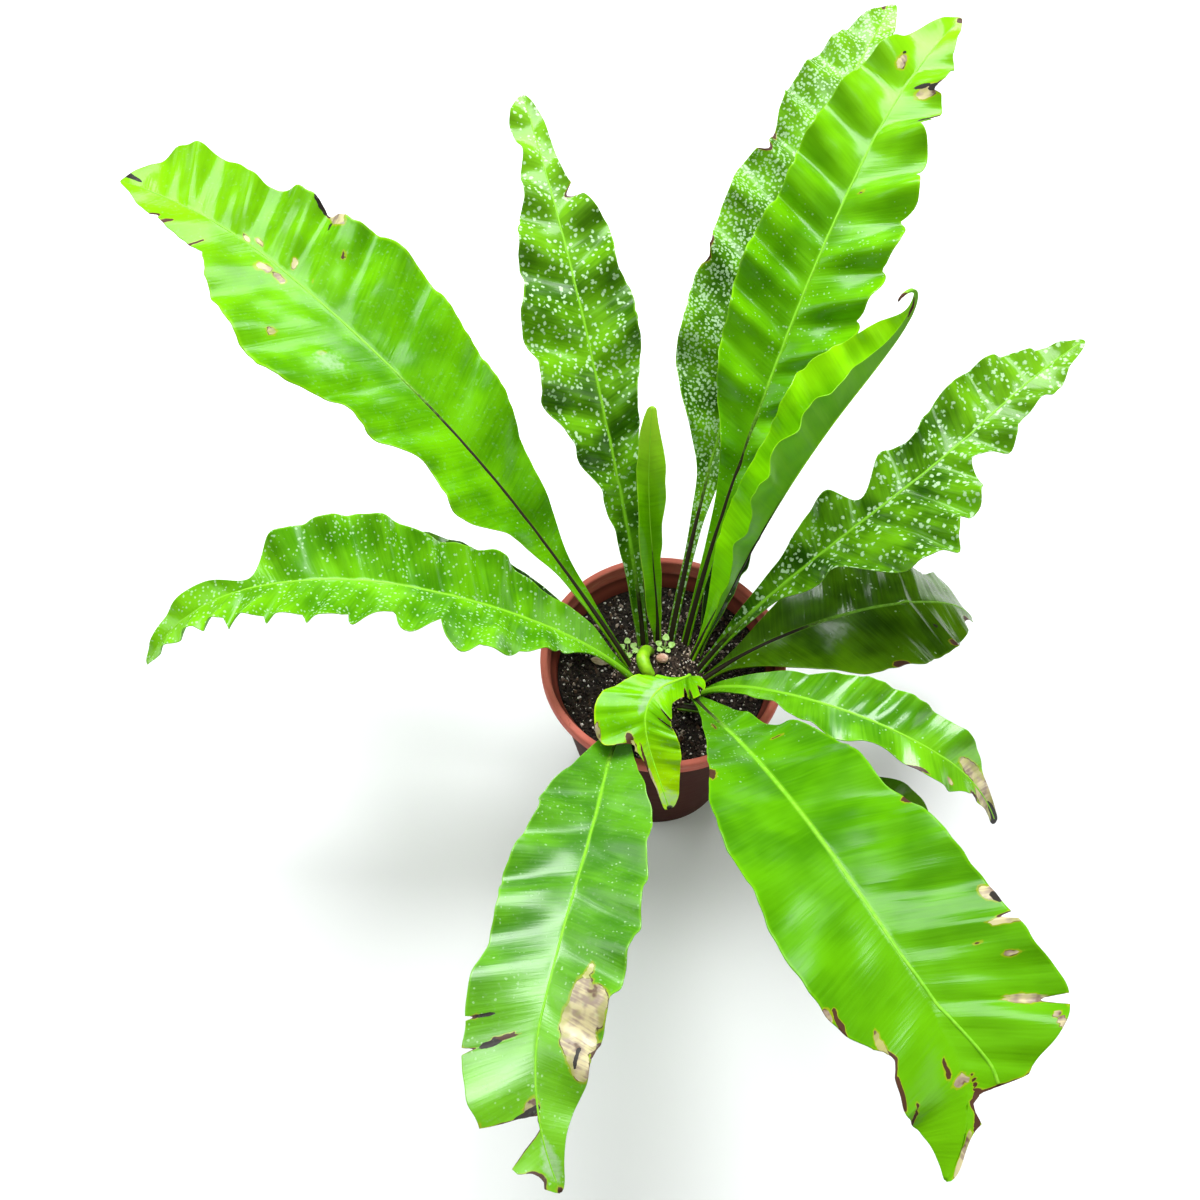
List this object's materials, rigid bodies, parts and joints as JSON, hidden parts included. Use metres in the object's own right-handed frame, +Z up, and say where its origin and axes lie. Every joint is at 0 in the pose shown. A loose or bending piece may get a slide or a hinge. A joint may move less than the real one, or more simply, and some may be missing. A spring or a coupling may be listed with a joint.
{
  "type": "potted birds nest fern",
  "caption": "Bird's nest fern: an open rosette of long ruffled strap fronds on a low rootstock, planted in a tapered plastic nursery pot with a rolled rim.",
  "frame": {"origin": "centre of the pot's flat underside", "axes": "+Z up along the pot's axis, +X to the right and +Y away from the front view that shows the long right front frond"},
  "size_m": [0.5683, 0.6597, 0.3783],
  "materials": {
    "pot_plastic": "satin",
    "potting_mix": "matte",
    "rootstock_fibre": "matte",
    "frond_bright": "gloss",
    "frond_mid": "gloss",
    "frond_dark": "gloss",
    "frond_young": "gloss",
    "seedling_leaf": "satin",
    "dry_leaf": "matte",
    "pebble_stone": "matte"
  },
  "bodies": {
    "root": {"pot": "pot_plastic", "soil": "potting_mix", "rootstock": "rootstock_fibre", "frond_far_left": "frond_bright", "frond_left": "frond_mid", "frond_back": "frond_dark", "frond_young_upright": "frond_young", "frond_back_right": "frond_dark", "frond_tall_right": "frond_bright", "frond_folded": "frond_young", "frond_behind_folded": "frond_dark", "frond_right_speckled": "frond_dark", "frond_right_blunt": "frond_dark", "frond_right_low": "frond_mid", "frond_front_right": "frond_bright", "frond_front_left": "frond_mid", "frond_front_small": "frond_young", "frond_under_right": "frond_dark", "frond_under_left": "frond_dark", "crosier": "frond_young", "seedlings_left": "seedling_leaf", "seedlings_back": "seedling_leaf", "leaf_chip": "dry_leaf", "pebble": "pebble_stone"}
  },
  "joints": []
}
